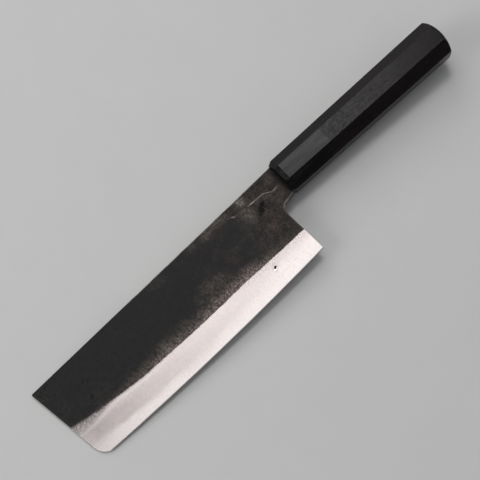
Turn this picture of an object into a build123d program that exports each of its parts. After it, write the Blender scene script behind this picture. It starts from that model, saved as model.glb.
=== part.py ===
from build123d import *
from math import atan, cos, hypot, radians, sin, sqrt
import os

os.makedirs("parts", exist_ok=True)

# Nakiri knife: a three-layer forged blade in an eight-sided handle.
# The knife's own axes: x runs from the blade's tip to the butt, y from the cutting edge to the
# spine, z from the right side to the left. All three are zero on the handle's axis, at the front
# of the ferrule. The knife lies on its right side, as on a cutting board. Lengths are in mm.

# Blade outline
blade_length = 165.0
heel_height = 51.6
heel_lean = 1.35
spine_rise = 8.75
spine_fall = 5.45
belly_drop = 3.8
belly_reach = 121.0
tip_lean = 7.4
tip_corner_radius = 9.0
leading_corner_radius = 0.8
edge_allowance = 0.1

# Neck between the heel and the ferrule
neck_length = 9.0
neck_height = 19.5
neck_slope = 1.8
choil_radius = 4.0

# Blade thickness, over both sides, along the spine and along the shoulder of the bevel
neck_spine_thickness = 4.0
neck_shoulder_thickness = 3.5
heel_spine_thickness = 3.6
heel_shoulder_thickness = 2.0
tip_spine_thickness = 1.7
tip_shoulder_thickness = 1.25
spine_chamfer = 0.35

# Ground bevel, and the honed edge at its foot
heel_bevel_height = 14.7
tip_bevel_height = 23.5
honed_height = 0.5
honed_thickness = 0.24

# Hard core between the two soft claddings
core_neck_thickness = 1.05
core_tip_thickness = 0.5
core_tang_thickness = 0.7

# Tang, hidden in the handle
tang_length = 85.0
tang_point_length = 8.0
tang_root_height = 10.0
tang_root_thickness = 3.2
tang_end_height = 6.0
tang_end_thickness = 2.0
tang_point_height = 2.4
tang_point_thickness = 1.2

# Handle: an octagon that swells towards a domed butt
handle_length = 120.7
front_height = 21.0
front_width = 19.5
front_corner_cut = 5.7
butt_height = 22.9
butt_width = 22.2
butt_corner_cut = 6.15
dome_radius = 22.0
rim_radius = 1.1
edge_ease = 0.08

# Ferrule
ferrule_length = 32.4
ferrule_wall = 4.0
ferrule_chamfer_length = 2.6
ferrule_chamfer_depth = 1.3

# Dowel that joins the ferrule to the body, and the bedding that holds the tang in it
dowel_diameter = 13.6
dowel_end_wall = 9.0
glue_gap = 0.1
bore_relief = 1.5
bedding_gap = 0.4
bedding_end_gap = 2.0

# How far a cut runs past what it cuts
overrun = 2.0

# Places that follow from the sizes
heel_x = -neck_length
tip_x = heel_x - blade_length
belly_x = heel_x - belly_reach
neck_foot = spine_rise - neck_height


def spine_y(x):
    """Height of the spine at x."""
    return spine_rise - spine_fall * x / tip_x


heel_foot = spine_y(heel_x) - heel_height
belly_foot = heel_foot - belly_drop


def edge_y(x):
    """Height of the cutting edge at x: a shallow curve, lowest at the belly."""
    return belly_foot + belly_drop * ((x - belly_x) / belly_reach) ** 2


# The knife rests on the ferrule's front corner and on the blade's leading corner
half_tip = tip_spine_thickness / 2
side_slope = (butt_width - front_width) / 2 / handle_length
rest_reach = front_width / 2 + side_slope * ferrule_chamfer_length
rest_tilt = atan((rest_reach - half_tip) / (ferrule_chamfer_length - tip_x))
axis_lift = rest_reach * cos(rest_tilt) - ferrule_chamfer_length * sin(rest_tilt)

# Middle plane of the knife, whose box stands on the origin
dome_centre = handle_length - dome_radius
butt_reach = dome_centre * cos(rest_tilt) + dome_radius
tip_reach = tip_x * cos(rest_tilt) - half_tip * sin(rest_tilt)
middle = Plane(
    origin=(-(butt_reach + tip_reach) / 2, -(butt_height / 2 + belly_foot) / 2, axis_lift),
    x_dir=(cos(rest_tilt), 0, sin(rest_tilt)),
    z_dir=(-sin(rest_tilt), 0, cos(rest_tilt)),
)
plan = Plane(middle.origin, x_dir=middle.x_dir, z_dir=-middle.y_dir)
handle_axis = Axis(middle.origin, middle.x_dir)


def across(x):
    """Plane square to the handle's axis at x: its x is the knife's y, its y the knife's z."""
    return Plane(middle.origin + middle.x_dir * x, x_dir=middle.y_dir, z_dir=middle.x_dir)


# Blade sections from the heel to just past the tip
station_shares = (0.0, 0.25, 0.5, 0.7, 0.85, 1.0, 1.02)
bevel_growth_shares = (0.0, 0.19, 0.25, 0.33, 0.58, 1.0, 1.05)


def blade_section(x, spine_thickness, shoulder_thickness, bevel_height):
    """Closed outline of the blade at x, from the chamfered spine to the honed edge."""
    top = spine_y(x)
    foot = edge_y(x)
    left = [
        (top, spine_thickness / 2 - spine_chamfer),
        (top - spine_chamfer, spine_thickness / 2),
        (foot + bevel_height, shoulder_thickness / 2),
        (foot + honed_height, honed_thickness / 2),
    ]
    right = [(height, -half) for height, half in reversed(left)]
    with BuildSketch(across(x)) as section:
        with BuildLine():
            Polyline(*left, (foot, 0), *right, close=True)
        make_face()
    return section.sketch


def between(heel_size, tip_size, share):
    """Size a share of the way from the heel to the tip."""
    return heel_size + (tip_size - heel_size) * share


blade_sections = [
    blade_section(
        heel_x - blade_length * share,
        between(heel_spine_thickness, tip_spine_thickness, share),
        between(heel_shoulder_thickness, tip_shoulder_thickness, share),
        between(heel_bevel_height, tip_bevel_height, growth),
    )
    for share, growth in zip(station_shares, bevel_growth_shares)
]
neck_section = blade_section(0, neck_spine_thickness, neck_shoulder_thickness, heel_bevel_height)


def bar_section(x, height, thickness):
    """Rectangle round the handle's axis at x."""
    with BuildSketch(across(x)) as section:
        Rectangle(height, thickness)
    return section.sketch


# Forging: blade, neck and tang in one, before it is parted into its layers
outline_foot = belly_foot - edge_allowance
leading_corner = (tip_x, spine_y(tip_x))
tip_corner = (tip_x + tip_lean, outline_foot)
neck_corner = (heel_x - heel_lean, neck_foot - neck_slope)

with BuildPart() as forging:
    loft(blade_sections)
    loft([neck_section, blade_sections[0]], ruled=True)
    with BuildSketch(middle) as outline:
        with BuildLine():
            Polyline(
                (0, spine_rise),
                leading_corner,
                tip_corner,
                (heel_x, outline_foot),
                (heel_x, heel_foot),
                neck_corner,
                (0, neck_foot),
                close=True,
            )
        make_face()
        fillet(outline.vertices().sort_by_distance(leading_corner)[0], leading_corner_radius)
        fillet(outline.vertices().sort_by_distance(tip_corner)[0], tip_corner_radius)
        fillet(outline.vertices().sort_by_distance(neck_corner)[0], choil_radius)
    extrude(amount=neck_spine_thickness, both=True, mode=Mode.INTERSECT)
    loft(
        [
            bar_section(0, tang_root_height, tang_root_thickness),
            bar_section(tang_length - tang_point_length, tang_end_height, tang_end_thickness),
            bar_section(tang_length, tang_point_height, tang_point_thickness),
        ],
        ruled=True,
    )

# The layer of hard steel, thinning to the tip and to the end of the tang
with BuildPart() as hard_layer:
    with BuildSketch(plan):
        with BuildLine():
            Polyline(
                (tip_x - overrun, core_tip_thickness / 2),
                (0, core_neck_thickness / 2),
                (tang_length + overrun, core_tang_thickness / 2),
                (tang_length + overrun, -core_tang_thickness / 2),
                (0, -core_neck_thickness / 2),
                (tip_x - overrun, -core_tip_thickness / 2),
                close=True,
            )
        make_face()
    extrude(amount=heel_height + spine_rise, both=True)

with BuildPart() as core_steel:
    add(forging.part)
    add(hard_layer.part, mode=Mode.INTERSECT)

with BuildPart() as left_cladding:
    add(forging.part)
    add(hard_layer.part, mode=Mode.SUBTRACT)
    split(bisect_by=middle, keep=Keep.TOP)

with BuildPart() as right_cladding:
    add(forging.part)
    add(hard_layer.part, mode=Mode.SUBTRACT)
    split(bisect_by=middle, keep=Keep.BOTTOM)


def facet_reaches(height, width, corner_cut):
    """Distances from the handle's axis to its eight facets, from the spine round to the left."""
    corner_reach = (height / 2 + width / 2 - corner_cut) / sqrt(2)
    return [height / 2, corner_reach, width / 2, corner_reach] * 2


def eased_corners(reaches):
    """Distances to the narrow flats that ease the corners between neighbouring facets."""
    neighbours = zip(reaches, reaches[1:] + reaches[:1])
    return [(near + far) / 2 / cos(radians(facet_turn / 2)) - edge_ease for near, far in neighbours]


def planed(turn, near_x, near_reach, far_x, far_reach):
    """Plane facing out at a turn round the axis, through one reach at each of two places."""
    outward = middle.y_dir * cos(radians(turn)) + middle.z_dir * sin(radians(turn))
    start = middle.origin + middle.x_dir * near_x + outward * near_reach
    run = middle.x_dir * (far_x - near_x) + outward * (far_reach - near_reach)
    return Plane(start, x_dir=run, z_dir=middle.x_dir.cross(outward).cross(run))


# Handle blank: turned with a domed butt, planed to eight facets, its rim and corners eased
facet_turn = 45
front_reaches = facet_reaches(front_height, front_width, front_corner_cut)
butt_reaches = facet_reaches(butt_height, butt_width, butt_corner_cut)
blank_radius = hypot(butt_height / 2, butt_width / 2)
blank_end = dome_centre + sqrt(dome_radius**2 - blank_radius**2)

with BuildPart() as handle_blank:
    with BuildSketch(middle):
        with BuildLine():
            Polyline((handle_length, 0), (0, 0), (0, blank_radius), (blank_end, blank_radius))
            RadiusArc((blank_end, blank_radius), (handle_length, 0), dome_radius)
        make_face()
    revolve(axis=handle_axis)
    for facet, (front, butt) in enumerate(zip(front_reaches, butt_reaches)):
        split(bisect_by=planed(facet * facet_turn, 0, front, handle_length, butt), keep=Keep.BOTTOM)
    fillet(handle_blank.faces().sort_by(handle_axis)[-1].edges(), radius=rim_radius)
    corners = zip(eased_corners(front_reaches), eased_corners(butt_reaches))
    for facet, (front, butt) in enumerate(corners):
        turn = (facet + 1 / 2) * facet_turn
        split(bisect_by=planed(turn, 0, front, handle_length, butt), keep=Keep.BOTTOM)

# Room for the tang in the ferrule's front wall and in the dowel
with BuildPart() as tang_socket:
    loft(
        [
            bar_section(
                0, tang_root_height + 2 * bedding_gap, tang_root_thickness + 2 * bedding_gap
            ),
            bar_section(
                tang_length + bedding_end_gap,
                tang_end_height + 2 * bedding_gap,
                tang_end_thickness + 2 * bedding_gap,
            ),
        ]
    )

bore_radius = dowel_diameter / 2 + glue_gap
dowel_end = tang_length + bedding_end_gap + dowel_end_wall

with BuildPart() as ferrule:
    add(handle_blank.part)
    split(bisect_by=across(ferrule_length), keep=Keep.BOTTOM)
    for facet, (front, butt) in enumerate(zip(front_reaches, butt_reaches)):
        chamfer_reach = front + (butt - front) * ferrule_chamfer_length / handle_length
        split(
            bisect_by=planed(
                facet * facet_turn,
                0,
                front - ferrule_chamfer_depth,
                ferrule_chamfer_length,
                chamfer_reach,
            ),
            keep=Keep.BOTTOM,
        )
    with BuildSketch(across(ferrule_length)):
        Circle(bore_radius)
    extrude(amount=ferrule_wall - ferrule_length, mode=Mode.SUBTRACT)
    add(tang_socket.part, mode=Mode.SUBTRACT)

with BuildPart() as handle_body:
    add(handle_blank.part)
    split(bisect_by=across(ferrule_length), keep=Keep.TOP)
    with BuildSketch(across(ferrule_length)):
        Circle(bore_radius)
    extrude(amount=dowel_end + bore_relief - ferrule_length, mode=Mode.SUBTRACT)

with BuildPart() as tang_dowel:
    with BuildSketch(across(ferrule_wall)):
        Circle(dowel_diameter / 2)
    extrude(amount=dowel_end - ferrule_wall)
    add(tang_socket.part, mode=Mode.SUBTRACT)

with BuildPart() as tang_bedding:
    add(tang_socket.part)
    add(forging.part, mode=Mode.SUBTRACT)

core_steel.part.label = "core_steel"
left_cladding.part.label = "left_cladding"
right_cladding.part.label = "right_cladding"
ferrule.part.label = "ferrule"
handle_body.part.label = "handle_body"
tang_dowel.part.label = "tang_dowel"
tang_bedding.part.label = "tang_bedding"

export_step(core_steel.part, "parts/core_steel.step")
export_step(left_cladding.part, "parts/left_cladding.step")
export_step(right_cladding.part, "parts/right_cladding.step")
export_step(ferrule.part, "parts/ferrule.step")
export_step(handle_body.part, "parts/handle_body.step")
export_step(tang_dowel.part, "parts/tang_dowel.step")
export_step(tang_bedding.part, "parts/tang_bedding.step")
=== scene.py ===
"""A nakiri knife dressed over its CAD frame: a forged three-layer blade in an eight-sided handle."""

import logging
from collections.abc import Callable, Iterator
from dataclasses import dataclass, field
from enum import Enum
from functools import partial
from math import exp, hypot, pi, radians
from typing import Union

import bmesh
import bpy
from mathutils import Euler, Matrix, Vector


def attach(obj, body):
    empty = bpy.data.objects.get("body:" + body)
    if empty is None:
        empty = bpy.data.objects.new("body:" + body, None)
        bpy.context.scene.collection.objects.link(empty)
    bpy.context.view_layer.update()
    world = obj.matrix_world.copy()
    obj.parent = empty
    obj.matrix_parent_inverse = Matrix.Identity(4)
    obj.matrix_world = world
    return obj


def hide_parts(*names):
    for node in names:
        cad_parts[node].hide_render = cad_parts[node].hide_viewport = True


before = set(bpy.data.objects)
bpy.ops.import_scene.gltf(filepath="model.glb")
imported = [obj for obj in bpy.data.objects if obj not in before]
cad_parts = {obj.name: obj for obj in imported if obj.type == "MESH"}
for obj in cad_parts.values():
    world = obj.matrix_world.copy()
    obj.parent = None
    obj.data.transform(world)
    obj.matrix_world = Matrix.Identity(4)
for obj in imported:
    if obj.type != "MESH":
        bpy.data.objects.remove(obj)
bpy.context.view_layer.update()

log = logging.getLogger("nakiri")

Point = tuple[float, float]
Colour = tuple[float, float, float]
MM = 0.001
COLOUR_RESULT = 2  # the Mix node's results share one name, and the third is the colour


class Side(Enum):
    """The two sides of the blade, by the sign of the knife's z axis there."""

    LEFT = 1
    RIGHT = -1


# ---------------------------------------------------------------- the knife's own axes and outline


@dataclass(frozen=True)
class KnifeAxes:
    """The knife's own axes in the frame: x to the butt, y to the spine, z out of the left side.

    Attributes:
        origin: Where the handle's axis meets the ferrule's front, in metres.
        tilt: How far the x axis rises towards the butt, in radians.
    """

    origin: tuple[float, float, float] = (0.0266234, 0.0177409, 0.0096353)
    tilt: float = radians(2.894470)

    def turn(self) -> Euler:
        """The turn from the frame's axes to the knife's."""
        return Euler((0.0, -self.tilt, 0.0))

    def to_knife(self, place: Vector) -> Vector:
        """A place of the frame, in millimetres along the knife's axes."""
        return self.turn().to_matrix().transposed() @ (place - Vector(self.origin)) / MM

    def to_frame(self, x: float, y: float, z: float) -> Vector:
        """A place in millimetres along the knife's axes, in the frame."""
        return Vector(self.origin) + self.turn().to_matrix() @ Vector((x, y, z)) * MM

    def direction(self, x: float, y: float, z: float) -> Vector:
        """A direction along the knife's axes, in the frame."""
        return self.turn().to_matrix() @ Vector((x, y, z))


@dataclass(frozen=True)
class BladeOutline:
    """The blade's lines in the knife's axes, in millimetres.

    Attributes:
        length: Reach of the leading corner ahead of the ferrule.
        neck: Reach of the heel ahead of the ferrule.
        spine_rise: Height of the spine at the ferrule.
        spine_slope: Rise of the spine for each millimetre towards the butt.
        belly_x: Place of the edge's lowest point.
        belly_y: Height of the edge there.
        belly_curve: Rise of the edge for each square millimetre away from the belly.
        tip_slope: Lean of the blade's front end.
        shoulder: Places ahead of the ferrule and heights of the line where the bevel starts.
    """

    length: float = 174.0
    neck: float = 9.0
    spine_rise: float = 8.75
    spine_slope: float = 0.03132
    belly_x: float = -130.0
    belly_y: float = -46.93
    belly_curve: float = 3.8 / 121.0**2
    tip_slope: float = 0.147
    shoulder: tuple[Point, ...] = (
        (0.0, -28.2),
        (9.0, -28.4),
        (30.0, -28.7),
        (50.0, -28.8),
        (70.0, -29.4),
        (88.0, -29.7),
        (104.0, -29.6),
        (120.0, -29.4),
        (133.0, -28.6),
        (146.0, -27.3),
        (158.0, -25.8),
        (168.0, -24.0),
        (174.0, -22.8),
    )

    def spine(self, x: float) -> float:
        """Height of the spine at x."""
        return self.spine_rise + self.spine_slope * x

    def shoulder_at(self, x: float) -> float:
        """Height at x of the line where the bevel starts."""
        runs = list(zip(self.shoulder, self.shoulder[1:]))
        for (near, low), (far, high) in runs:
            if -x <= far:
                return low + (high - low) * (-x - near) / (far - near)
        return self.shoulder[-1][1]


axes = KnifeAxes()
outline = BladeOutline()


def eased(value: float, start: float, end: float) -> float:
    """A smooth step from 0 at start to 1 at end."""
    share = min(max((value - start) / (end - start), 0.0), 1.0)
    return share * share * (3.0 - 2.0 * share)


def spaced(start: float, end: float, step: float) -> Iterator[float]:
    """Places a step apart between two ends, without the ends."""
    place = start + step
    while place < end:
        yield place
        place += step


# ---------------------------------------------------------------- making a finish


class Field:
    """A number that changes over a surface. Arithmetic on it adds Math nodes to its recipe."""

    def __init__(self, recipe: "Recipe", socket: bpy.types.NodeSocket) -> None:
        """Wraps a socket.

        Args:
            recipe: The recipe that the socket belongs to.
            socket: The output socket that gives the number.
        """
        self.recipe = recipe
        self.socket = socket

    def __add__(self, other: "Number") -> "Field":
        """This plus other."""
        return self.recipe.maths("ADD", self, other)

    def __sub__(self, other: "Number") -> "Field":
        """This less other."""
        return self.recipe.maths("SUBTRACT", self, other)

    def __rsub__(self, other: "Number") -> "Field":
        """Other less this."""
        return self.recipe.maths("SUBTRACT", other, self)

    def __mul__(self, other: "Number") -> "Field":
        """This times other."""
        return self.recipe.maths("MULTIPLY", self, other)

    def __truediv__(self, other: "Number") -> "Field":
        """This over other."""
        return self.recipe.maths("DIVIDE", self, other)

    def __pow__(self, other: "Number") -> "Field":
        """This to the power of other."""
        return self.recipe.maths("POWER", self, other)

    def step(self, start: "Number", end: "Number") -> "Field":
        """A smooth step from 0 where this is start to 1 where it is end."""
        node = self.recipe.node(
            "ShaderNodeMapRange",
            {"interpolation_type": "SMOOTHSTEP"},
            {"Value": self, "From Min": start, "From Max": end},
        )
        return Field(self.recipe, node.outputs["Result"])

    def along(self, points: tuple[Point, ...]) -> "Field":
        """The height of a smooth curve through points of shares, where this is the share along."""
        node = self.recipe.node("ShaderNodeFloatCurve", {"curve": points}, {"Value": self})
        return Field(self.recipe, node.outputs["Value"])


Number = Union[Field, float]


class Recipe:
    """The nodes of one finish, built from the surface's place up to its shader."""

    def __init__(self, name: str, seed: float = 0.0) -> None:
        """Starts an empty material and finds the place on the knife's axes, in millimetres.

        Args:
            name: The material's name.
            seed: Shifts every noise, so that two finishes of one kind differ.
        """
        self.material = bpy.data.materials.new(name)
        self.material.use_nodes = True
        self.tree = self.material.node_tree
        self.tree.nodes.clear()
        self.seed = seed
        place = self.node("ShaderNodeTexCoord").outputs["Object"]
        turned = self.node(
            "ShaderNodeMapping",
            {"vector_type": "TEXTURE"},
            {"Vector": place, "Location": axes.origin, "Rotation": axes.turn(), "Scale": (MM, MM, MM)},
        )
        self.place = turned.outputs["Vector"]
        apart = self.node("ShaderNodeSeparateXYZ", {}, {"Vector": self.place})
        self.x, self.y, self.z = (Field(self, apart.outputs[axis]) for axis in "XYZ")

    def node(
        self, kind: str, settings: dict | None = None, inputs: dict | None = None
    ) -> bpy.types.Node:
        """Adds a node.

        Args:
            kind: The node's type.
            settings: What is set first: properties, a curve's points or a ramp's stops.
            inputs: Values, fields or sockets, by the input's name or identifier.

        Returns:
            The new node.
        """
        node = self.tree.nodes.new(kind)
        for name, value in (settings or {}).items():
            if name == "curve":
                curve = node.mapping.curves[0]
                for number, (along, height) in enumerate(value):
                    if number < len(curve.points):
                        curve.points[number].location = (along, height)
                    else:
                        curve.points.new(along, height)
                node.mapping.update()
            elif name == "stops":
                stops = node.color_ramp.elements
                for number, (along, colour) in enumerate(value):
                    stop = stops[number] if number < len(stops) else stops.new(along)
                    stop.position = along
                    stop.color = (*colour, 1.0)
            else:
                setattr(node, name, value)
        by_identifier = {socket.identifier: socket for socket in node.inputs}
        for name, value in (inputs or {}).items():
            socket = by_identifier[name] if name in by_identifier else node.inputs[name]
            if isinstance(value, Field):
                self.tree.links.new(value.socket, socket)
            elif isinstance(value, bpy.types.NodeSocket):
                self.tree.links.new(value, socket)
            elif socket.type == "RGBA" and len(value) == 3:
                socket.default_value = (*value, 1.0)
            else:
                socket.default_value = value
        return node

    def maths(self, operation: str, first: Number, second: Number = 0.0) -> Field:
        """One Math node's result."""
        inputs = {"Value": first, "Value_001": second}
        node = self.node("ShaderNodeMath", {"operation": operation}, inputs)
        return Field(self, node.outputs[0])

    def highest(self, first: Number, second: Number) -> Field:
        """The higher of two numbers."""
        return self.maths("MAXIMUM", first, second)

    def lowest(self, first: Number, second: Number) -> Field:
        """The lower of two numbers."""
        return self.maths("MINIMUM", first, second)

    def grain(
        self,
        reach: float | tuple[float, float, float],
        detail: float = 2.0,
        harshness: float = 0.5,
        shift: float = 0.0,
    ) -> Field:
        """A noise about 0.5 whose features are as large as reach.

        Args:
            reach: Size of the features in millimetres, alike or along each of the knife's axes.
            detail: How many finer octaves are added.
            harshness: How strong the finer octaves are.
            shift: Moves the noise, so that two of one reach differ.

        Returns:
            The noise.
        """
        reaches = reach if isinstance(reach, tuple) else (reach, reach, reach)
        inputs = {"Vector": self.place, "Vector_001": reaches}
        stretched = self.node("ShaderNodeVectorMath", {"operation": "DIVIDE"}, inputs)
        noise = self.node(
            "ShaderNodeTexNoise",
            {"noise_dimensions": "4D"},
            {
                "Vector": stretched.outputs["Vector"],
                "W": self.seed + shift,
                "Scale": 1.0,
                "Detail": detail,
                "Roughness": harshness,
            },
        )
        return Field(self, noise.outputs["Fac"])

    def blend(self, under: "Paint", over: "Paint", share: Number) -> bpy.types.NodeSocket:
        """One colour laid over another."""
        node = self.node(
            "ShaderNodeMix",
            {"data_type": "RGBA"},
            {"Factor_Float": share, "A_Color": under, "B_Color": over},
        )
        return node.outputs[COLOUR_RESULT]

    def shade(self, colour: "Paint", share: Number) -> bpy.types.NodeSocket:
        """A colour made lighter or darker by a share about 1."""
        inputs = {"Vector": colour, "Scale": share}
        return self.node("ShaderNodeVectorMath", {"operation": "SCALE"}, inputs).outputs["Vector"]

    def blended(self, under: Number, over: Number, share: Field) -> Field:
        """One number passing into another."""
        return share * (over - under) + under

    def off_run(self, start: Point, end: Point) -> Field:
        """Distance, seen square to the blade, from a straight run between two places."""
        run = (end[0] - start[0], end[1] - start[1])
        length_squared = run[0] ** 2 + run[1] ** 2
        from_x = self.x - start[0]
        from_y = self.y - start[1]
        share = (from_x * run[0] + from_y * run[1]) / length_squared
        share = self.lowest(self.highest(share, 0.0), 1.0)
        off_x = from_x - share * run[0]
        off_y = from_y - share * run[1]
        return (off_x * off_x + off_y * off_y) ** 0.5

    def off_line(self, points: tuple[Point, ...]) -> Field:
        """Distance, seen square to the blade, from a line through places."""
        off = self.off_run(points[0], points[1])
        for start, end in zip(points[1:], points[2:]):
            off = self.lowest(off, self.off_run(start, end))
        return off

    def finish(
        self,
        colour: "Paint",
        roughness: Number,
        metallic: Number = 0.0,
        height: Field | None = None,
        fixed: dict[str, float] | None = None,
    ) -> bpy.types.Material:
        """Closes the recipe with its shader.

        Args:
            colour: Base colour.
            roughness: Roughness.
            metallic: How metallic it is.
            height: Height of the fine relief, in millimetres.
            fixed: Shader values that are alike all over.

        Returns:
            The material.
        """
        inputs = {"Base Color": colour, "Roughness": roughness, "Metallic": metallic, **(fixed or {})}
        if height is not None:
            bump = self.node("ShaderNodeBump", {}, {"Height": height, "Strength": 1.0, "Distance": MM})
            inputs["Normal"] = bump.outputs["Normal"]
        shader = self.node("ShaderNodeBsdfPrincipled", {}, inputs)
        self.node("ShaderNodeOutputMaterial", {}, {"Surface": shader.outputs["BSDF"]})
        return self.material


Paint = Union[bpy.types.NodeSocket, Colour]


# ---------------------------------------------------------------- finishes


def off_front(recipe: Recipe) -> Field:
    """Distance behind the blade's front end, in millimetres."""
    below_spine = recipe.y * -1.0 + outline.spine(-outline.length)
    return recipe.x + outline.length - below_spine * outline.tip_slope


@dataclass(frozen=True)
class GroundSteel:
    """The bevel's bright ground steel, in bands that follow the edge.

    Attributes:
        clear: Colour of the clean ground metal.
        misty: Colour of the haze over the middle of the bevel.
        bright: Colour of the polished hard core by the edge.
        smoke: Colour of the thin scale left where the grinding runs out.
        roughness: Roughness of the clean metal.
        core_reach: Share of the bevel's height that the core takes, along the blade.
        mist_depth: How dense the haze is, along the blade.
    """

    clear: Colour = (0.765, 0.682, 0.668)
    misty: Colour = (0.300, 0.262, 0.258)
    bright: Colour = (0.850, 0.782, 0.765)
    smoke: Colour = (0.130, 0.112, 0.108)
    roughness: float = 0.22
    core_reach: tuple[Point, ...] = (
        (0.0, 0.62), (0.10, 0.56), (0.22, 0.40), (0.36, 0.32),
        (0.52, 0.22), (0.70, 0.25), (0.85, 0.30), (1.0, 0.34),
    )
    mist_depth: tuple[Point, ...] = (
        (0.0, 0.04), (0.18, 0.08), (0.36, 0.09), (0.55, 0.14),
        (0.72, 0.235), (0.88, 0.38), (1.0, 0.44),
    )

    def lay(self, recipe: Recipe, share: Field, shoulder: Field) -> tuple[Paint, Field, Field]:
        """Lays the ground metal's bands.

        Args:
            recipe: The finish it is part of.
            share: Share of the way from the ferrule to the leading corner.
            shoulder: Height of the line where the bevel starts.

        Returns:
            Its colour, its roughness and the height of its relief in millimetres.
        """
        from_belly = recipe.x - outline.belly_x
        edge = from_belly * from_belly * outline.belly_curve + outline.belly_y
        below_shoulder = shoulder - recipe.y
        rise = (recipe.y - edge) / (shoulder - edge)

        cloud = recipe.grain((11.0, 6.0, 6.0), detail=4.0, harshness=0.6, shift=3.0)
        drift = recipe.grain((24.0, 30.0, 30.0), detail=2.0, shift=5.0) - 0.5
        wheel = recipe.grain((0.8, 3.0, 3.0), detail=4.0, harshness=0.68, shift=7.0) - 0.5
        tooth = recipe.grain(0.85, detail=3.0, harshness=0.6, shift=9.0)
        fine = recipe.grain(0.8, detail=3.0, harshness=0.6, shift=11.0)

        core_top = share.along(self.core_reach) + drift * 0.5
        blur = share.step(0.40, 0.80) * -0.13 + 0.27
        core = 1.0 - rise.step(core_top - blur, core_top + blur)
        hazy = rise.step(core_top - blur * 0.5, core_top + blur * 1.2)
        hazy = hazy * (1.0 - rise.step(0.62, 0.92) * 0.5)
        from_front = off_front(recipe).step(0.0, 9.0) * 0.65 + 0.35
        mist = hazy * share.along(self.mist_depth) * (cloud * 1.2 + 0.4) * from_front
        by_shoulder = (1.0 - below_shoulder.step(0.2, 6.0)) * (1.0 - share.step(0.24, 0.42))
        by_shoulder = by_shoulder * tooth.step(0.36, 0.62)

        last = share.step(0.80, 1.0)
        depth = below_shoulder / (last * 7.5 + 0.25)
        left_scale = (fine.step(0.36, 0.66) * 0.9 + 0.28) * (1.0 - depth.step(0.1, 1.3))
        off_line = below_shoulder - last * 5.4 - 1.7 + (fine - 0.5) * 2.6
        ground_line = (1.0 - (off_line * off_line).step(0.0, 1.3)) * share.step(0.58, 0.76)
        ground_line = ground_line * (tooth * 1.2 + 0.25)

        colour = recipe.blend(self.clear, self.misty, mist)
        colour = recipe.blend(colour, self.misty, by_shoulder * 0.56)
        colour = recipe.blend(colour, self.bright, core)
        colour = recipe.blend(colour, self.smoke, left_scale * last.step(0.0, 0.25) * 0.8)
        colour = recipe.blend(colour, self.bright, ground_line * 0.45)
        colour = recipe.shade(colour, wheel * 0.27 + (tooth - 0.5) * 0.18 + 1.0)
        roughness = mist * 0.10 + self.roughness + left_scale * 0.10
        return colour, roughness, wheel * 0.0016 + (cloud - 0.5) * 0.010


@dataclass(frozen=True)
class CoreSteel:
    """The hard core, bright where it shows at the edge and dark with scale on the neck.

    Attributes:
        ground: The bright metal of its bevel.
        rim: Colour of the layer where it shows on the blade's rims.
        rim_roughness: Roughness there.
    """

    ground: GroundSteel = GroundSteel()
    rim: Colour = (0.20, 0.185, 0.18)
    rim_roughness: float = 0.42

    def make(self) -> bpy.types.Material:
        """The finished material."""
        recipe = Recipe("hard_steel_core", seed=2.0)
        share = recipe.x / -outline.length
        shoulder = shoulder_field(recipe, share)
        colour, roughness, height = self.ground.lay(recipe, share, shoulder)
        above = (recipe.y - shoulder).step(-0.6, 0.6)
        behind = recipe.x.step(-outline.neck - 0.6, -outline.neck + 0.6)
        rim = recipe.highest(above, behind)
        wear = recipe.grain(2.5, detail=4.0, shift=1.0)
        colour = recipe.blend(colour, recipe.shade(self.rim, wear + 0.5), rim)
        roughness = recipe.blended(roughness, self.rim_roughness, rim)
        return recipe.finish(colour, roughness, 1.0, height)


def shoulder_field(recipe: Recipe, share: Field) -> Field:
    """Height of the bevel's upper line along the blade.

    Args:
        recipe: The finish that needs it.
        share: Share of the way from the ferrule to the leading corner.

    Returns:
        The height, in millimetres on the knife's axes.
    """
    lowest, span = -34.0, 14.0
    points = tuple((x / outline.length, (height - lowest) / span) for x, height in outline.shoulder)
    return share.along(points) * span + lowest


@dataclass(frozen=True)
class Pit:
    """A small pit that the forging left.

    Attributes:
        x: Its place along the knife, in millimetres.
        y: Its height, in millimetres.
        reach: Half its size.
        darkness: How dark its bottom is, from 0 to 1.
    """

    x: float
    y: float
    reach: float
    darkness: float = 0.9


@dataclass(frozen=True)
class Rub:
    """A spot where the scale is rubbed thin.

    Attributes:
        x: Its place along the knife, in millimetres.
        y: Its height, in millimetres.
        reach_x: How far it goes along the knife.
        reach_y: How far it goes up and down.
        strength: How bare it is.
    """

    x: float
    y: float
    reach_x: float
    reach_y: float
    strength: float


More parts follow.
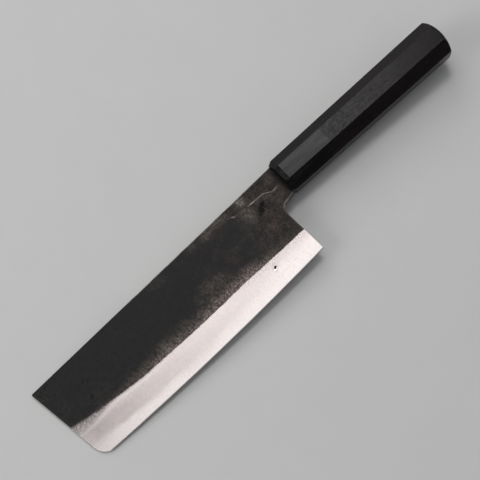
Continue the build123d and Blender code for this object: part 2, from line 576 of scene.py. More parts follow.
@dataclass(frozen=True)
class Fold:
    """A fold that the hammer left: a hollow on its spine side, and a lip of bare iron and painted
    highlight.

    Attributes:
        points: Places along it, towards the butt.
        depth: How far the side steps down at it, in millimetres.
        spread: How far the hollow reaches, in millimetres.
        reach: Half the width of the lip, bare iron and painted highlight, in millimetres.
        strength: How strong the lip's bare iron and painted highlight are.
        step_width: Half the width of the step, in millimetres.
        ease_share: How gently the ends fade, as a share of the spread.
        foot: How far the fine mesh goes below the fold, in millimetres.
        past_end: How far it goes past the fold towards the butt, in millimetres.
    """

    points: tuple[Point, ...]
    depth: float
    spread: float
    reach: float
    strength: float
    step_width: float = 0.35
    ease_share: float = 0.6
    foot: float = 2.0
    past_end: float = 1.5

    def sink(self, x: float, y: float) -> float:
        """How far a place sinks, as a share of the depth."""
        for (start_x, start_y), (end_x, end_y) in zip(self.points, self.points[1:]):
            if start_x <= x <= end_x:
                line = start_y + (end_y - start_y) * (x - start_x) / (end_x - start_x)
                break
        else:
            line = self.points[0][1] if x < self.points[0][0] else self.points[-1][1]
        ease = self.spread * self.ease_share
        ends = eased(x, self.points[0][0] - ease, self.points[0][0] + ease)
        ends *= eased(-x, -self.points[-1][0] - ease, -self.points[-1][0] + ease * self.ease_share)
        over = y - line
        fade = exp(-((max(over, 0.0) / self.spread) ** 2))
        return ends * eased(over, -self.step_width, self.step_width) * fade

    def box(self) -> tuple[float, float, float, float]:
        """The box round it that needs a fine mesh."""
        along, up = zip(*self.points)
        low_x, high_x = min(along) - self.spread, max(along) + self.past_end
        return low_x, high_x, min(up) - self.foot, max(up) + self.spread


@dataclass(frozen=True)
class ForgedIron:
    """Soft iron that keeps its black forge scale above the bevel and is ground bright on it.

    Attributes:
        side: The side of the blade it is on.
        ground: The bright metal of its bevel.
        scale: Colour of the sound scale.
        warm_scale: Colour of the scale where it turns brown.
        olive_scale: Colour of the scale where the brown is greener.
        violet_scale: Colour of the scale where it turns violet.
        worn: Colour of the brown bands and spots where the scale is rubbed thin.
        sallow: Colour of the worn spots near the handle.
        bare: Colour of bare iron's specks and edges, and of the painted highlights on the front end and
            folds.
        pit: Colour in the bottom of a pit.
        lap: How far the scale runs down over the bevel's shoulder, in millimetres, along the blade.
        band_reach: Height of the worn band over the bevel, as a share of 10 mm, along the blade.
        band_strength: How worn the band is, along the blade.
        neck_line: Places along the neck's filed foot, towards the heel.
        heel_line: Places down the filed heel.
        folds: The folds that the hammer left.
        pits: The small pits.
        rubs: The spots where the scale is rubbed thin.
    """

    side: Side
    ground: GroundSteel = GroundSteel()
    scale: Colour = (0.0160, 0.0166, 0.0164)
    warm_scale: Colour = (0.0350, 0.0240, 0.0226)
    olive_scale: Colour = (0.0290, 0.0264, 0.0212)
    violet_scale: Colour = (0.0198, 0.0174, 0.0184)
    worn: Colour = (0.174, 0.128, 0.120)
    sallow: Colour = (0.152, 0.128, 0.104)
    bare: Colour = (0.47, 0.42, 0.385)
    pit: Colour = (0.0040, 0.0052, 0.0042)
    lap: tuple[Point, ...] = (
        (0.0, 0.26), (0.20, 0.20), (0.34, 0.04), (0.62, 0.0), (0.74, 0.14), (1.0, 0.22),
    )
    band_reach: tuple[Point, ...] = (
        (0.0, 0.30), (0.12, 0.54), (0.24, 0.76), (0.42, 0.84),
        (0.60, 0.84), (0.72, 0.62), (0.84, 0.34), (1.0, 0.12),
    )
    band_strength: tuple[Point, ...] = (
        (0.0, 0.10), (0.08, 0.16), (0.12, 0.32), (0.17, 0.44), (0.22, 0.80), (0.36, 0.84),
        (0.52, 0.66), (0.62, 0.70), (0.72, 0.45), (0.84, 0.28), (0.90, 0.16), (1.0, 0.10),
    )
    neck_line: tuple[Point, ...] = ((0.5, -9.75), (-7.6, -11.35), (-9.8, -13.6))
    heel_line: tuple[Point, ...] = ((-9.8, -13.6), (-9.7, -26.0))
    folds: tuple[Fold, ...] = ()
    pits: tuple[Pit, ...] = ()
    rubs: tuple[Rub, ...] = ()

    def make(self) -> bpy.types.Material:
        """The finished material."""
        recipe = Recipe(f"forged_iron_{self.side.name.lower()}", seed=11.0 + 3.0 * self.side.value)
        share = recipe.x / -outline.length
        shoulder = shoulder_field(recipe, share)
        bright, bright_roughness, bright_height = self.ground.lay(recipe, share, shoulder)

        waver = (recipe.grain(5.0, detail=3.0, shift=1.0) - 0.5) * 1.0
        tooth = (recipe.grain((0.55, 1.6, 1.6), detail=2.0, shift=2.0) - 0.5) * (share * 1.3 + 0.4)
        above = recipe.y - shoulder + share.along(self.lap) + waver + tooth
        softness = share * share * share * 0.95 + 0.12
        scaled = above.step(softness * -1.0, softness)

        below_spine = recipe.y * -1.0 + (recipe.x * outline.spine_slope + outline.spine_rise)
        patch = recipe.grain(11.0, detail=5.0, harshness=0.62, shift=4.0)
        mottle = recipe.grain(3.0, detail=5.0, harshness=0.74, shift=6.0)
        hue = recipe.grain(5.0, detail=3.0, harshness=0.6, shift=18.0)
        speck = recipe.grain(1.0, detail=2.0, harshness=0.6, shift=8.0)
        ray = recipe.grain((1.1, 1.7, 1.7), detail=3.0, harshness=0.7, shift=10.0)

        worn = self.worn_share(recipe, share, above, patch, mottle)
        flecked = worn * ray.step(0.40, 0.62) * (speck * 1.8 + 0.5) + worn * 0.25
        specks = speck.step(0.50, 0.68) * worn.step(0.30, 0.95)

        low_down = recipe.highest(1.0 - above.step(4.0, 13.0), 1.0 - off_front(recipe).step(2.0, 14.0))
        low_down = recipe.highest(low_down, 1.0 - share.step(0.28, 0.46))
        by_handle = recipe.x.step(-44.0, -18.0) * 0.9
        warm = recipe.highest(patch.step(0.40, 0.60) * low_down * 0.75, by_handle)
        violet = recipe.grain(8.0, detail=3.0, shift=14.0).step(0.43, 0.57)
        violet = recipe.highest(violet, share.step(0.40, 0.52) * 0.85) * (1.0 - warm)
        colour = recipe.blend(self.scale, self.violet_scale, violet)
        redder = hue.step(0.38, 0.54) * (1.0 - share.step(0.36, 0.60))
        brown = recipe.blend(self.olive_scale, self.warm_scale, redder)
        colour = recipe.blend(colour, brown, warm * (1.0 - share.step(0.5, 1.0) * 0.5))
        freckle = (speck - 0.5) * (warm * 2.0 + 0.4)
        patchy = mottle.step(0.32, 0.68) * (warm * 0.95 + 0.40) + 0.83 - warm * 0.40
        colour = recipe.shade(colour, patchy + freckle)
        high_up = (above + share.step(0.45, 0.62) * 2.6).step(3.5, 6.5)
        sallow = recipe.highest(recipe.x.step(-48.0, -32.0), high_up * 0.8)
        thin = recipe.blend(self.worn, self.sallow, sallow)
        colour = recipe.blend(colour, thin, recipe.lowest(flecked, 1.0))
        colour = recipe.blend(colour, self.bare, specks * 0.75)

        # Bare iron on the spine and the neck's foot; painted highlights on the front end and the folds'
        # lips.
        rubbed = self.bare_edges_and_highlights(recipe, below_spine, speck)
        colour = recipe.blend(colour, self.bare, rubbed)
        # Painted shade: the neck darkens over its last 5 mm before the ferrule, for the ferrule's
        # shadow and its dark reflection there.
        colour = recipe.shade(colour, 1.0 - recipe.x.step(-5.5, -0.5) * 0.45)

        sunk = None
        for pit in self.pits:
            across, up = pit.reach * 0.5, pit.reach * 0.35
            off = recipe.off_run((pit.x - across, pit.y - up), (pit.x + across, pit.y + up))
            off = off + (speck - 0.5) * pit.reach * 1.2
            hole = (1.0 - off.step(pit.reach * 0.25, pit.reach * 0.85)) * pit.darkness
            sunk = hole if sunk is None else recipe.highest(sunk, hole)
            halo = (1.0 - off.step(pit.reach, pit.reach + 2.6)) * speck.step(0.40, 0.60) * 0.42
            bright = recipe.blend(bright, self.ground.misty, halo)

        colour = recipe.blend(bright, colour, scaled)
        roughness = recipe.blended(0.56, 0.42, recipe.highest(worn, rubbed)) + (mottle - 0.5) * 0.16
        roughness = bright_roughness + (roughness - bright_roughness) * scaled
        metallic = 1.0 - scaled * (1.0 - recipe.highest(worn * 0.35, rubbed * 0.8))
        relief = (speck - 0.5) * 0.018 + (mottle - 0.5) * 0.05 - worn * 0.012
        height = bright_height + (relief + 0.02 - bright_height) * scaled
        if sunk is not None:
            colour = recipe.blend(colour, self.pit, sunk)
            roughness = roughness + sunk * 0.2
            metallic = metallic + sunk * sunk * sunk * (1.0 - metallic)
            height = height - sunk * 0.05
        return recipe.finish(colour, roughness, metallic, height, {"Specular IOR Level": 0.22})

    def worn_share(
        self, recipe: Recipe, share: Field, above: Field, patch: Field, mottle: Field
    ) -> Field:
        """How far the scale is worn: in a band over the bevel, on the neck and in the rubbed spots.

        Args:
            recipe: The finish it is part of.
            share: Share of the way from the ferrule to the leading corner.
            above: Height over the bevel's wavering upper line.
            patch: A noise as large as a patch.
            mottle: A finer noise.

        Returns:
            The share, 0 where the scale is sound.
        """
        reach = share.along(self.band_reach) * (patch * 8.0 + 6.0)
        band = (1.0 - (above / reach).step(0.0, 1.15)) * share.along(self.band_strength)
        band = band * (patch * 0.7 + 0.65) * (mottle * 1.2 + 0.4)
        neck = recipe.x.step(-46.0, -20.0) * mottle.step(0.42, 0.72) * 0.26
        worn = recipe.highest(band, neck)
        for rub in self.rubs:
            off_x = (recipe.x - rub.x) / rub.reach_x
            off_y = (recipe.y - rub.y) / rub.reach_y
            off = (off_x * off_x + off_y * off_y) ** 0.5 + (patch - 0.5) * 1.6 + (mottle - 0.5) * 1.7
            worn = recipe.highest(worn, (1.0 - off.step(0.35, 1.15)) * rub.strength)
        return worn

    def bare_edges_and_highlights(self, recipe: Recipe, below_spine: Field, speck: Field) -> Field:
        """Bare iron on spine and neck's foot, and painted highlights as bare iron on front end and
        folds.

        Args:
            recipe: The finish it is part of.
            below_spine: Depth under the spine.
            speck: A fine noise.

        Returns:
            The share, 0 where nothing is bare.
        """
        broken = recipe.grain(11.0, detail=4.0, harshness=0.6, shift=12.0)
        broken = broken.step(0.40, 0.58) * 0.7 + 0.3
        along_spine = recipe.x.step(-112.0, -96.0) * (1.0 - recipe.x.step(-24.0, -12.0) * 0.8) * broken
        rubbed = (1.0 - below_spine.step(0.15, 0.60)) * along_spine
        # The front end's rim: worn bare iron, and a painted highlight of its rounded end.
        rubbed = recipe.highest(rubbed, (1.0 - off_front(recipe).step(0.05, 0.35)) * 0.5)
        off_neck = recipe.off_line(self.neck_line)
        off_heel = recipe.off_line(self.heel_line)
        filed = recipe.highest(1.0 - off_neck.step(0.1, 0.9), (1.0 - off_heel.step(0.2, 0.9)) * 0.4)
        rubbed = recipe.highest(rubbed, filed * (speck * 0.50 + 0.02))
        gaps = recipe.grain(3.0, detail=2.0, shift=16.0).step(0.38, 0.60) * 0.75 + 0.30
        for fold in self.folds:
            end = fold.points[-1][0]
            # The lip: bare iron along the fold, and a painted highlight of its ridge.
            lip = 1.0 - recipe.off_line(fold.points).step(fold.reach * 0.17, fold.reach)
            lip = lip * (1.0 - recipe.x.step(end - 4.0, end + 0.5) * 0.8)
            rubbed = recipe.highest(rubbed, lip * gaps * fold.strength)
        return rubbed


@dataclass(frozen=True)
class Ebony:
    """Oiled black wood with a fine straight grain along the handle.

    Attributes:
        dark: Colour of the dense wood.
        streak: Colour of its lighter streaks.
        tinge: Colour of the patches that turn purple-brown.
        roughness: Roughness of the dense wood.
    """

    dark: Colour = (0.0058, 0.0050, 0.0050)
    streak: Colour = (0.0200, 0.0158, 0.0152)
    tinge: Colour = (0.0165, 0.0088, 0.0100)
    roughness: float = 0.18

    def make(self) -> bpy.types.Material:
        """The finished material."""
        recipe = Recipe("ebony", seed=21.0)
        line = recipe.grain((46.0, 0.9, 0.9), detail=4.0, harshness=0.6, shift=1.0)
        band = recipe.grain((70.0, 4.5, 4.5), detail=2.0, shift=2.0)
        pore = recipe.grain((5.0, 0.22, 0.22), detail=1.0, shift=3.0).step(0.60, 0.74)
        cloud = recipe.grain((30.0, 9.0, 9.0), detail=3.0, shift=4.0).step(0.42, 0.68)
        fleck = recipe.grain((2.6, 1.3, 1.3), detail=4.0, harshness=0.7, shift=5.0)
        colour = recipe.blend(self.dark, self.streak, line.step(0.40, 0.72) * (band * 0.9 + 0.15))
        colour = recipe.blend(colour, self.tinge, recipe.highest(cloud * 0.6, fleck.step(0.46, 0.66)))
        colour = recipe.shade(colour, pore * -0.6 + 1.0)
        roughness = line * 0.06 + fleck.step(0.36, 0.64) * 0.08 + pore * 0.18 + self.roughness
        height = (line - 0.5) * 0.006 - pore * 0.010
        return recipe.finish(colour, roughness, 0.0, height, {"Specular IOR Level": 0.12})


@dataclass(frozen=True)
class BlackHorn:
    """Polished black horn, close and even, with a faint cloud in it.

    Attributes:
        dark: Its main colour.
        cloud: Colour of the faint lighter clouds.
        roughness: Roughness of the polish.
    """

    dark: Colour = (0.0045, 0.0046, 0.0049)
    cloud: Colour = (0.020, 0.0195, 0.0190)
    roughness: float = 0.14

    def make(self) -> bpy.types.Material:
        """The finished material."""
        recipe = Recipe("black_horn", seed=31.0)
        cloud = recipe.grain((14.0, 2.6, 2.6), detail=4.0, harshness=0.6, shift=1.0)
        fibre = recipe.grain((7.0, 0.5, 0.5), detail=2.0, shift=2.0)
        colour = recipe.blend(self.dark, self.cloud, cloud.step(0.45, 0.78))
        roughness = cloud.step(0.36, 0.66) * 0.08 + fibre * 0.04 + self.roughness
        height = (fibre - 0.5) * 0.0016
        return recipe.finish(colour, roughness, 0.0, height, {"Specular IOR Level": 0.12})


@dataclass(frozen=True)
class PaleWood:
    """The bare magnolia of the dowel, inside the handle.

    Attributes:
        light: Colour of the early wood.
        dark: Colour of the late wood.
    """

    light: Colour = (0.62, 0.53, 0.38)
    dark: Colour = (0.44, 0.36, 0.24)

    def make(self) -> bpy.types.Material:
        """The finished material."""
        recipe = Recipe("magnolia", seed=41.0)
        line = recipe.grain((40.0, 1.1, 1.1), detail=4.0, shift=1.0)
        colour = recipe.blend(self.light, self.dark, line.step(0.4, 0.7))
        return recipe.finish(colour, line * 0.15 + 0.55, 0.0, (line - 0.5) * 0.02)


@dataclass(frozen=True)
class SetResin:
    """The brown resin that holds the tang, inside the handle.

    Attributes:
        light: Its main colour.
        dark: Colour of its darker clouds.
    """

    light: Colour = (0.33, 0.20, 0.09)
    dark: Colour = (0.17, 0.09, 0.04)

    def make(self) -> bpy.types.Material:
        """The finished material."""
        recipe = Recipe("bedding_resin", seed=51.0)
        cloud = recipe.grain(4.0, detail=3.0, shift=1.0)
        colour = recipe.blend(self.light, self.dark, cloud.step(0.35, 0.7))
        return recipe.finish(colour, cloud * 0.2 + 0.3, 0.0, (cloud - 0.5) * 0.05)


def dress(piece: bpy.types.Object, material: bpy.types.Material) -> None:
    """Gives a piece one material in place of those it has.

    Args:
        piece: The piece.
        material: Its new material.
    """
    piece.data.materials.clear()
    piece.data.materials.append(material)


# ---------------------------------------------------------------- the blade


@dataclass(frozen=True)
class Region:
    """A box on the blade's side, in millimetres on the knife's axes, with the mesh it gets.

    Attributes:
        low_x: Its end towards the tip.
        high_x: Its end towards the butt.
        low_y: Its lower side.
        high_y: Its upper side.
        step: Size of the mesh in it.
    """

    low_x: float
    high_x: float
    low_y: float
    high_y: float
    step: float

    def holds(self, x: float, y: float) -> bool:
        """Whether a place lies in it."""
        return self.low_x <= x <= self.high_x and self.low_y <= y <= self.high_y


@dataclass
class Blade:
    """The forged blade: a hard core between two claddings that carry the hammer's marks.

    Attributes:
        core_node: CAD node of the core.
        cladding_nodes: CAD node of each cladding.
        side_step: Size of the mesh over a whole side, in millimetres.
        side_foot: Height under which the side isn't cut, in millimetres.
        side_top: Height over which it isn't cut.
        fold_step: Size of the mesh round the folds.
        pit_margin: How far the mesh round a pit goes, as a share of its reach.
        pit_step_share: Size of that mesh, as a share of how far it goes.
        join: How near two corners are to be one, in metres.
        crisp: Turn between faces from which an edge stays crisp, in degrees.
        smooth: Turn up to which faces look smooth, in degrees.
        facing: How squarely a face has to look outwards to be cut, where 1 is squarely.
        outer: Distance from the middle plane from which the side may move, in millimetres.
        spine_rim: Width of the rim at the spine that stays, in millimetres.
        fades: How fast the marks fade in from spine, front end and handle, in millimetres.
        swell_fade: Heights over the bevel's line between which the swells fade in.
        swell_reach: Distance between the hammer's swells, in millimetres.
        swell_depth: Depth of the swells, in millimetres.
        folds: The folds on each side.
        pits: The pits on each side.
        rubs: The spots on each side where the scale is rubbed thin.
        pit_depth: Depth of the pits, in millimetres.
    """

    core_node: str = "core_steel"
    cladding_nodes: dict[Side, str] = field(
        default_factory=lambda: {Side.LEFT: "left_cladding", Side.RIGHT: "right_cladding"}
    )
    side_step: float = 2.2
    side_foot: float = -50.0
    side_top: float = 10.0
    fold_step: float = 0.42
    pit_margin: float = 1.5
    pit_step_share: float = 0.2
    join: float = 2e-6
    crisp: float = 0.8
    smooth: float = 20.0
    facing: float = 0.9
    outer: float = 0.62
    spine_rim: float = 0.35
    fades: tuple[float, float, float] = (2.5, 3.0, 2.0)
    swell_fade: tuple[float, float] = (0.3, 5.0)
    swell_reach: float = 13.0
    swell_depth: float = 0.16
    folds: dict[Side, tuple[Fold, ...]] = field(
        default_factory=lambda: {
            Side.LEFT: (
                Fold(
                    (
                        (-23.0, 0.75), (-18.0, 0.65), (-12.4, 0.35), (-10.6, -0.45),
                        (-8.5, -1.75), (-6.8, -2.0), (-4.0, -1.6),
                    ),
                    depth=0.26,
                    spread=4.5,
                    reach=0.36,
                    strength=1.0,
                ),
                Fold(
                    ((-33.8, 2.4), (-32.6, 1.5), (-29.3, 1.1)),
                    depth=0.10,
                    spread=2.2,
                    reach=0.75,
                    strength=0.42,
                ),
            ),
            Side.RIGHT: (),
        }
    )
    pits: dict[Side, tuple[Pit, ...]] = field(
        default_factory=lambda: {
            Side.LEFT: (
                Pit(-17.9, -4.8, 2.9, 0.74),
                Pit(-20.4, -7.0, 1.5, 0.60),
                Pit(-35.0, -33.6, 0.78, 1.0),
                Pit(-149.8, -9.9, 0.8, 0.5),
                Pit(-147.2, -10.8, 1.1, 0.4),
                Pit(-151.3, -19.1, 1.2, 0.5),
                Pit(-166.4, 1.3, 0.8, 0.6),
            ),
            Side.RIGHT: (Pit(-61.0, -8.0, 1.1), Pit(-118.0, -15.5, 0.9, 0.6)),
        }
    )
    rubs: dict[Side, tuple[Rub, ...]] = field(
        default_factory=lambda: {
            Side.LEFT: (
                Rub(-25.0, 4.6, 4.8, 5.0, 0.66),
                Rub(-26.2, -1.6, 4.8, 7.5, 0.46),
                Rub(-42.0, 5.2, 11.0, 3.2, 0.40),
                Rub(-50.0, 4.8, 6.0, 4.0, 0.38),
                Rub(-66.0, -19.5, 13.0, 6.5, 0.32),
                Rub(-87.0, 3.0, 8.0, 3.0, 0.12),
                Rub(-60.0, 5.0, 5.0, 3.0, 0.22),
            ),
            Side.RIGHT: (
                Rub(-30.0, 4.0, 7.0, 4.0, 0.50),
                Rub(-96.0, -17.0, 13.0, 4.0, 0.40),
                Rub(-15.0, -15.0, 8.0, 10.0, 0.25),
            ),
        }
    )
    pit_depth: float = 0.12

    def build(self) -> list[bpy.types.Object]:
        """Makes the two forged sides and dresses the core.

        Returns:
            The blade's new pieces.
        """
        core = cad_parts[self.core_node]
        dress(core, CoreSteel().make())
        log.info("%s dressed as bright hard steel", core.name)
        return [self.forge(side) for side in Side]

    def forge(self, side: Side) -> bpy.types.Object:
        """Makes one forged side from its CAD cladding.

        Args:
            side: Which side.

        Returns:
            The finished piece.
        """
        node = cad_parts[self.cladding_nodes[side]]
        piece = bpy.data.objects.new(f"forged_{side.name.lower()}_side", node.data.copy())
        bpy.context.scene.collection.objects.link(piece)
        self.take_up(piece)
        self.draw_grid(piece, side)
        self.weigh(piece, "swells", side, self.swell_weight)
        self.weigh(piece, "pits", side, partial(self.pit_weight, side))
        self.hammer(piece, side)
        self.press(piece, "pits", self.pit_depth, side)
        for number, fold in enumerate(self.folds[side]):
            self.weigh(piece, f"fold_{number}", side, fold.sink)
            self.press(piece, f"fold_{number}", fold.depth, side)
        bpy.ops.object.shade_smooth_by_angle(angle=radians(self.smooth), keep_sharp_edges=True)
        dress(piece, self.finish_for(side).make())
        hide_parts(node.name)
        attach(piece, "root")
        log.info("%s forged with %d faces", piece.name, len(piece.data.polygons))
        return piece

    def finish_for(self, side: Side) -> ForgedIron:
        """The finish of one side, with its folds and pits where the shape has them."""
        return ForgedIron(side, folds=self.folds[side], pits=self.pits[side], rubs=self.rubs[side])

    def take_up(self, piece: bpy.types.Object) -> None:
        """Joins the piece's loose triangles and marks the edges that stay crisp.

        Args:
            piece: The piece, which becomes the active one.
        """
        bpy.ops.object.select_all(action="DESELECT")
        piece.select_set(True)
        bpy.context.view_layer.objects.active = piece
        if piece.data.has_custom_normals:
            bpy.ops.mesh.customdata_custom_splitnormals_clear()
        bpy.ops.object.mode_set(mode="EDIT")
        bpy.ops.mesh.select_all(action="SELECT")
        bpy.ops.mesh.remove_doubles(threshold=self.join)
        bpy.ops.mesh.select_mode(type="EDGE")
        bpy.ops.mesh.select_all(action="DESELECT")
        bpy.ops.mesh.edges_select_sharp(sharpness=radians(self.crisp))
        bpy.ops.mesh.mark_sharp()
        bpy.ops.object.mode_set(mode="OBJECT")

    def draw_grid(self, piece: bpy.types.Object, side: Side) -> None:
        """Cuts the outer side into a grid, finer round the folds and the pits.

        Args:
            piece: The piece, with its triangles joined.
            side: Which side of the blade it is.
        """
        whole = (-outline.length, 0.0, self.side_foot, self.side_top)
        regions = [Region(*whole, step=self.side_step)]
        regions += [Region(*fold.box(), step=self.fold_step) for fold in self.folds[side]]
        for pit in self.pits[side]:
            reach = self.pit_margin * pit.reach
            box = (pit.x - reach, pit.x + reach, pit.y - reach, pit.y + reach)
            regions.append(Region(*box, step=reach * self.pit_step_share))
        bpy.ops.object.mode_set(mode="EDIT")
        bpy.ops.mesh.select_mode(type="FACE")
        for region in regions:
            self.select_side(piece, side, region)
            bpy.ops.mesh.hide(unselected=True)
            for x in spaced(region.low_x, region.high_x, region.step):
                self.cut(x, 0.0, axes.direction(1.0, 0.0, 0.0))
            for y in spaced(region.low_y, region.high_y, region.step):
                self.cut(0.0, y, axes.direction(0.0, 1.0, 0.0))
            bpy.ops.mesh.reveal(select=False)
        bpy.ops.mesh.select_all(action="SELECT")
        bpy.ops.mesh.quads_convert_to_tris(quad_method="BEAUTY", ngon_method="BEAUTY")
        bpy.ops.object.mode_set(mode="OBJECT")

    def select_side(self, piece: bpy.types.Object, side: Side, region: Region) -> None:
        """Selects the outer faces that lie in a region.

        Args:
            piece: The piece, in edit mode.
            side: Which side of the blade it is.
            region: Where.
        """
        outward = axes.direction(0.0, 0.0, float(side.value))
        mesh = bmesh.from_edit_mesh(piece.data)
        for face in mesh.faces:
            place = axes.to_knife(face.calc_center_median())
            out = face.normal.dot(outward) > self.facing and side.value * place.z > 0.0
            near = region.holds(place.x, place.y) or region.step == self.side_step
            face.select_set(out and near)
        mesh.select_flush_mode()
        bmesh.update_edit_mesh(piece.data)

    def cut(self, x: float, y: float, normal: Vector) -> None:
        """Cuts the faces in view by a plane through a place on the knife's axes.

        Bisect leaves nothing selected, so the faces in view are selected afresh for each cut.

        Args:
            x: The place along the knife, in millimetres.
            y: The place's height, in millimetres.
            normal: What the plane is square to.
        """
        bpy.ops.mesh.select_all(action="SELECT")
        bpy.ops.mesh.bisect(plane_co=axes.to_frame(x, y, 0.0), plane_no=normal, threshold=1e-6)

    def weigh(
        self, piece: bpy.types.Object, name: str, side: Side, weight: Callable[[float, float], float]
    ) -> None:
        """Gives the outer side's vertices a group that says how far each one moves.

        Args:
            piece: The piece.
            name: The group's name.
            side: Which side of the blade it is.
            weight: Gives the weight at a place on the knife's axes.
        """
        group = piece.vertex_groups.new(name=name)
        for vertex in piece.data.vertices:
            place = axes.to_knife(vertex.co)
            if side.value * place.z < self.outer:
                continue
            share = weight(place.x, place.y) * self.off_rims(place.x, place.y)
            if share > 0.001:
                group.add([vertex.index], share, "REPLACE")

    def off_rims(self, x: float, y: float) -> float:
        """Fades the marks out towards the spine, the front end and the handle."""
        spine, front, handle = self.fades
        from_spine = outline.spine(x) - self.spine_rim - y
        from_front = x + outline.length - (outline.spine(-outline.length) - y) * outline.tip_slope
        return eased(from_spine, 0.0, spine) * eased(from_front, 0.0, front) * eased(-x, 0.0, handle)

    def swell_weight(self, x: float, y: float) -> float:
        """The hammer's swells lie on the scale alone."""
        return eased(y - outline.shoulder_at(x), *self.swell_fade)

    def pit_weight(self, side: Side, x: float, y: float) -> float:
        """Round pits that sink smoothly to their middle."""
        return max(
            eased(hypot(x - pit.x, y - pit.y), pit.reach, 0.0) * pit.darkness for pit in self.pits[side]
        )

    def hammer(self, piece: bpy.types.Object, side: Side) -> None:
        """Raises and sinks the side in the shallow swells that the hammer leaves.

        Args:
            piece: The piece.
            side: Which side of the blade it is.
        """
        swells = bpy.data.textures.new(f"swells_{side.name.lower()}", "CLOUDS")
        swells.noise_scale = self.swell_reach * MM
        swells.noise_depth = 1
        self.displace(piece, "swells", 0.5, self.swell_depth * MM * side.value, swells)

    def press(self, piece: bpy.types.Object, group: str, depth: float, side: Side) -> None:
        """Presses a group of vertices into the side.

        Args:
            piece: The piece.
            group: The vertices' group.
            depth: How far the fullest of them sink, in millimetres.
            side: Which side of the blade it is.
        """
        self.displace(piece, group, 0.0, -depth * MM * side.value)

    def displace(
        self,
        piece: bpy.types.Object,
        group: str,
        mid_level: float,
        strength: float,
        texture: bpy.types.Texture | None = None,
    ) -> None:
        """Moves a group of vertices along the frame's z axis.

        Args:
            piece: The piece.
            group: The vertices' group.
            mid_level: The texture's value that doesn't move them.
            strength: How far they move, in metres.
            texture: What makes them move unevenly, if anything.
        """
        modifier = piece.modifiers.new(group, "DISPLACE")
        modifier.direction = "Z"
        modifier.mid_level = mid_level
        modifier.strength = strength
        modifier.vertex_group = group
        if texture is not None:
            modifier.texture = texture
            modifier.texture_coords = "LOCAL"
        bpy.ops.object.modifier_apply(modifier=modifier.name)


# ---------------------------------------------------------------- the handle


@dataclass
class Handle:
    """The handle: horn ferrule and ebony body over the dowel and resin that hold the tang.

    Attributes:
        ferrule_node: CAD node of the ferrule.
        body_node: CAD node of the body.
        dowel_node: CAD node of the dowel.
        bedding_node: CAD node of the resin.
    """

    ferrule_node: str = "ferrule"
    body_node: str = "handle_body"
    dowel_node: str = "tang_dowel"
    bedding_node: str = "tang_bedding"

    def build(self) -> list[bpy.types.Object]:
        """Dresses the handle's pieces, whose shapes are the CAD's own.

        Returns:
            The pieces.
        """
        finishes = {
            self.ferrule_node: BlackHorn(),
            self.body_node: Ebony(),
            self.dowel_node: PaleWood(),
            self.bedding_node: SetResin(),
        }
        pieces = []
        for name, finish in finishes.items():
            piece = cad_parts[name]
            dress(piece, finish.make())
            log.info("%s dressed as %s", name, type(finish).__name__)
            pieces.append(piece)
        return pieces


# ---------------------------------------------------------------- floor, light and camera


@dataclass(frozen=True)
class PaleFloor:
    """The pale matt floor that the knife lies on.

    Attributes:
        size: Its width, in metres.
        colour: Its colour.
        shade_colour: Colour of its faint clouds.
        roughness: Its roughness.
    """

    size: float = 6.0
    colour: Colour = (0.82, 0.815, 0.805)
    shade_colour: Colour = (0.78, 0.775, 0.765)
    roughness: float = 0.85

    def build(self) -> bpy.types.Object:
        """Makes the floor, with its top at height zero."""
        bpy.ops.object.select_all(action="DESELECT")
        bpy.ops.mesh.primitive_plane_add(size=self.size, location=(0.0, 0.0, 0.0))
        floor = bpy.context.active_object
        floor.name = "floor"
        recipe = Recipe("pale_floor", seed=61.0)
        cloud = recipe.grain(22.0, detail=5.0, shift=1.0)
        tooth = recipe.grain(0.9, detail=2.0, shift=2.0)
        colour = recipe.blend(self.colour, self.shade_colour, cloud)
        dress(floor, recipe.finish(colour, self.roughness, 0.0, (tooth - 0.5) * 0.02))
        return floor


def turned_to(place: tuple[float, float, float], aim: tuple[float, float, float]) -> Euler:
    """The turn of a lamp or camera at a place that looks at an aim."""
    return (Vector(aim) - Vector(place)).to_track_quat("-Z", "Y").to_euler()


@dataclass(frozen=True)
class SoftLamp:
    """A large soft lamp.

    Attributes:
        name: Its name.
        place: Where it is, in metres.
        aim: Where it points, in metres.
        width: Its width, in metres.
        depth: Its other width, in metres.
        glow: How bright its face is, where 1 is white.
    """

    name: str
    place: tuple[float, float, float]
    aim: tuple[float, float, float]
    width: float
    depth: float
    glow: float

    def build(self) -> bpy.types.Object:
        """Makes the lamp, its power worked out from its size and its glow."""
        data = bpy.data.lights.new(self.name, "AREA")
        data.shape = "RECTANGLE"
        data.size = self.width
        data.size_y = self.depth
        data.energy = self.glow * pi * self.width * self.depth
        lamp = bpy.data.objects.new(self.name, data)
        lamp.location = self.place
        lamp.rotation_euler = turned_to(self.place, self.aim)
        bpy.context.scene.collection.objects.link(lamp)
        return lamp


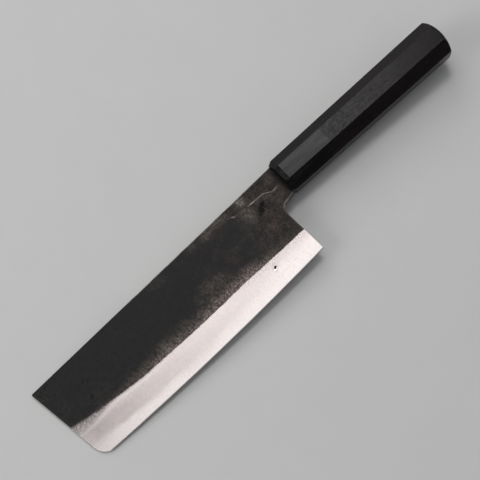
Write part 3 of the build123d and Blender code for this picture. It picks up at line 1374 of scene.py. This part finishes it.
@dataclass(frozen=True)
class Studio:
    """Floor, soft light and the camera at the photograph's viewing angle.

    Attributes:
        lamps: The soft lamps.
        sky: Colour of the surroundings.
        sky_strength: How bright they are.
        camera_place: Where the camera stands, in metres.
        camera_aim: The point at the middle of its view, in metres.
        lens: Its focal length, in millimetres.
        sensor: Width of its sensor, in millimetres.
    """

    lamps: tuple[SoftLamp, ...] = (
        SoftLamp("key_overhead", (0.14, 0.42, 1.60), (0.1, 0.0, 0.0), 0.88, 1.10, 0.85),
        SoftLamp("handle_strip", (0.33, 0.51, 1.60), (0.1, 0.0, 0.0), 0.42, 0.32, 9.5),
        SoftLamp("left_fill", (-1.20, 0.42, 0.76), (0.0, 0.0, 0.0), 0.80, 0.60, 3.3),
        SoftLamp("back_fill", (0.10, 1.55, 1.10), (0.0, 0.0, 0.0), 1.60, 0.80, 1.6),
    )
    sky: Colour = (0.95, 0.97, 1.0)
    sky_strength: float = 0.20
    camera_place: tuple[float, float, float] = (-0.1515, -0.1437, 0.7060)
    camera_aim: tuple[float, float, float] = (-0.0102, 0.0098, 0.0)
    lens: float = 102.73
    sensor: float = 36.0

    def build(self) -> None:
        """Makes everything round the knife."""
        PaleFloor().build()
        for lamp in self.lamps:
            lamp.build()
        scene = bpy.context.scene
        world = bpy.data.worlds.new("soft_surroundings")
        world.use_nodes = True
        background = world.node_tree.nodes["Background"]
        background.inputs["Color"].default_value = (*self.sky, 1.0)
        background.inputs["Strength"].default_value = self.sky_strength
        scene.world = world
        data = bpy.data.cameras.new("camera")
        data.sensor_width = self.sensor
        data.lens = self.lens
        camera = bpy.data.objects.new("camera", data)
        camera.location = self.camera_place
        camera.rotation_euler = turned_to(self.camera_place, self.camera_aim)
        scene.collection.objects.link(camera)
        scene.camera = camera
        scene.view_settings.view_transform = "Standard"


def main() -> None:
    """Builds the knife and its studio in order."""
    logging.basicConfig(level=logging.INFO, format="%(message)s")
    Studio().build()
    Blade().build()
    Handle().build()


if __name__ == "__main__":
    main()
